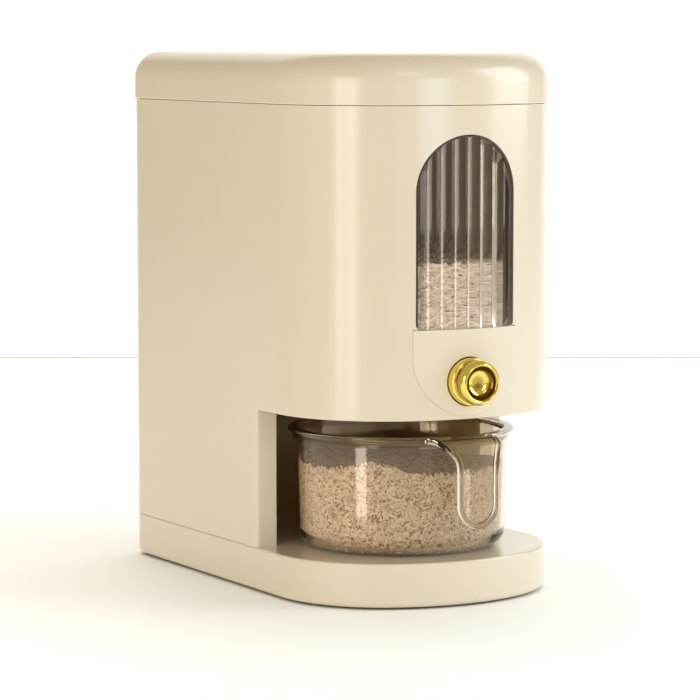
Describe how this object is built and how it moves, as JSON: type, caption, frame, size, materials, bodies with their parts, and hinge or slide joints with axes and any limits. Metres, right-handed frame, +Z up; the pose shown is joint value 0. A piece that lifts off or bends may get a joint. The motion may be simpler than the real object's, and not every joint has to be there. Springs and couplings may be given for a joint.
{
  "type": "rice dispenser",
  "caption": "Tower-shaped countertop grain dispenser with a fluted arched window, a push knob that opens a sliding gate, a lift-off lid and a pull-out measuring bowl with handle.",
  "frame": {"origin": "centre of the bounding box in plan, on the standing plane under the feet", "axes": "+Z up; -Y towards the front with window, knob and bowl; +X to the object's left as it faces the user, which is the user's right"},
  "size_m": [0.1516, 0.2554, 0.28],
  "materials": {
    "cream_plastic": "smooth satin-gloss cream moulding",
    "inner_plastic": "satin cream moulding, slightly darker",
    "slide_plastic": "low-friction natural white moulding",
    "smoky_clear": "transparent smoke-brown plastic, polished",
    "soft_rubber": "soft translucent white rubber",
    "foot_rubber": "grey anti-slip rubber",
    "panel_plastic": "fine satin cream insert",
    "plated_gold": "polished champagne-gold plating",
    "screw_steel": "zinc-plated steel"
  },
  "bodies": {
    "body": {"tower_shell": "cream_plastic", "base_tray": "cream_plastic", "bay_liner": "inner_plastic", "soffit_panel": "inner_plastic", "hopper_floor": "inner_plastic", "base_plate": "inner_plastic", "gate_rails": "slide_plastic", "knob_guide": "slide_plastic", "window_frame": "inner_plastic", "window_pane": "smoky_clear", "window_gasket": "soft_rubber", "gate_seal": "soft_rubber", "base_feet": "foot_rubber", "escutcheon": "panel_plastic", "tower_screws": "screw_steel", "base_screws": "screw_steel", "soffit_screws": "screw_steel", "window_screws": "screw_steel"},
    "plunger": {"knob": "plated_gold", "push_rod": "slide_plastic", "gate_plate": "slide_plastic", "rod_screw": "screw_steel", "return_spring": "screw_steel"},
    "lid": {"lid_shell": "cream_plastic", "lid_liner": "inner_plastic", "lid_seal": "soft_rubber"},
    "bowl": {"measuring_bowl": "smoky_clear"}
  },
  "joints": [
    {"name": "knob_push", "type": "slide", "parent": "body", "child": "plunger", "axis": [0, 1, 0], "range_m": [0, 0.011], "stiffness_N_per_m": 260, "springref_m": -0.006, "deforming": ["return_spring"]},
    {"name": "lid_lift", "type": "slide", "parent": "body", "child": "lid", "axis": [0, 0, 1], "range_m": [0, 0.06]},
    {"name": "bowl_pull", "type": "slide", "parent": "body", "child": "bowl", "axis": [0, -1, 0], "range_m": [0, 0.16]}
  ]
}
